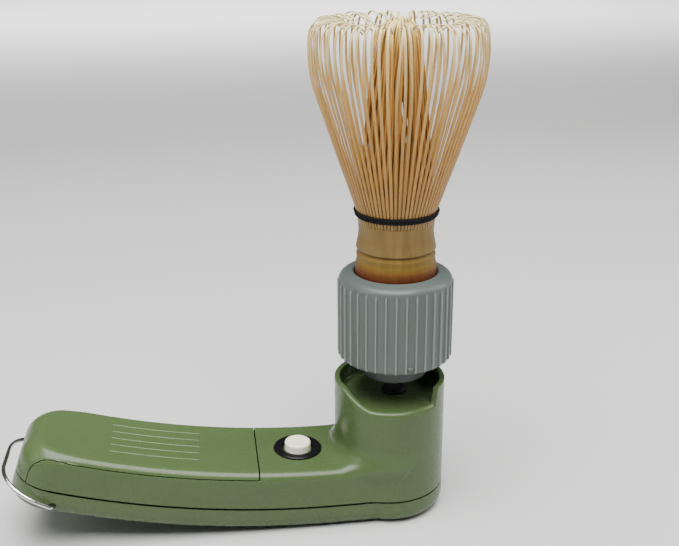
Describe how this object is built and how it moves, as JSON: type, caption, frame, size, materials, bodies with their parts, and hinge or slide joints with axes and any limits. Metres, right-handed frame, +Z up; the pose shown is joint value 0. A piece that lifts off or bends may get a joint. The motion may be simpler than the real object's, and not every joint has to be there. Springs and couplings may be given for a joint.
{
  "type": "battery tea whisk",
  "caption": "Battery-driven tea whisk: bamboo tines held in a ribbed chuck above a bowed plastic handle with a push button, a battery cover and a wire hanging loop.",
  "frame": {"origin": "on the spindle's axis, in the plane of the flat foot under the head", "axes": "+Z up along the spindle towards the whisk's tips, -X along the handle towards the hanging loop, Y across the handle"},
  "size_m": [0.153, 0.0536, 0.1617],
  "materials": {
    "casing": "glossy sage green",
    "grey_plastic": "satin",
    "dark_grey_plastic": "satin",
    "white_plastic": "moulded",
    "ivory": "satin",
    "black": "satin",
    "steel": "bright",
    "bronze": "sintered",
    "copper": "enamelled",
    "core": "laminated",
    "magnet": "matt",
    "cell": "plain jacket",
    "seal": "matt",
    "lead": "insulated",
    "bamboo": "natural bamboo",
    "thread": "braided cotton"
  },
  "bodies": {
    "casing": {"upper_casing": "casing", "lower_casing": "casing", "casing_screws": "steel", "button_bezel": "black", "button_spring": "steel", "switch_body": "black", "upper_bush": "bronze", "lower_bush": "bronze", "shaft_seal": "seal", "gear_plate": "white_plastic", "plate_screws": "steel", "motor_can": "steel", "motor_magnets": "magnet", "motor_end_cap": "white_plastic", "battery_left": "cell", "battery_right": "cell", "front_contacts": "steel", "rear_contact": "steel", "lead_wires": "lead"},
    "cover": {"battery_cover": "casing"},
    "button": {"button_cap": "ivory"},
    "loop": {"hanging_wire": "steel"},
    "spindle": {"spindle": "steel", "chuck_hub": "dark_grey_plastic", "hub_screw": "steel", "output_gear": "white_plastic"},
    "rotor": {"motor_shaft": "steel", "motor_armature": "core", "motor_windings": "copper", "motor_commutator": "copper", "pinion": "bronze"},
    "collet": {"chuck_collet": "white_plastic"},
    "nut": {"chuck_nut": "grey_plastic"},
    "whisk": {"whisk_grip": "bamboo", "outer_tines": "bamboo", "inner_tines": "bamboo", "binding_thread": "thread"}
  },
  "joints": [
    {"name": "spindle_spin", "type": "hinge", "parent": "casing", "child": "spindle", "pos_m": [0, 0, 0.04], "axis": [0, 0, 1], "continuous": true},
    {"name": "motor_spin", "type": "hinge", "parent": "casing", "child": "rotor", "pos_m": [-0.008, 0, 0.02], "axis": [0, 0, 1], "continuous": true},
    {"name": "collet_lift", "type": "slide", "parent": "spindle", "child": "collet", "axis": [0, 0, 1], "range_m": [0, 0.003]},
    {"name": "nut_turn", "type": "hinge", "parent": "collet", "child": "nut", "pos_m": [0, 0, 0.066], "axis": [0, 0, 1], "range_deg": [0, 360]},
    {"name": "whisk_out", "type": "slide", "parent": "spindle", "child": "whisk", "axis": [0, 0, 1], "range_m": [0, 0.03]},
    {"name": "button_press", "type": "slide", "parent": "casing", "child": "button", "axis": [-0.0373, 0, -0.9993], "range_m": [0, 0.0016], "stiffness_N_per_m": 400, "springref_m": -0.0015, "deforming": ["button_spring"]},
    {"name": "cover_lift", "type": "slide", "parent": "casing", "child": "cover", "axis": [0.0864, 0, 0.9963], "range_m": [0, 0.03]},
    {"name": "loop_swing", "type": "hinge", "parent": "casing", "child": "loop", "pos_m": [-0.11033, 0, 0.01728], "axis": [0, 1, 0], "range_deg": [-80, 8]}
  ],
  "couplings": [
    {"joint": "motor_spin", "follows": "spindle_spin", "ratio": -2.3333},
    {"joint": "nut_turn", "follows": "collet_lift", "rad_per_m": 2094.4}
  ]
}
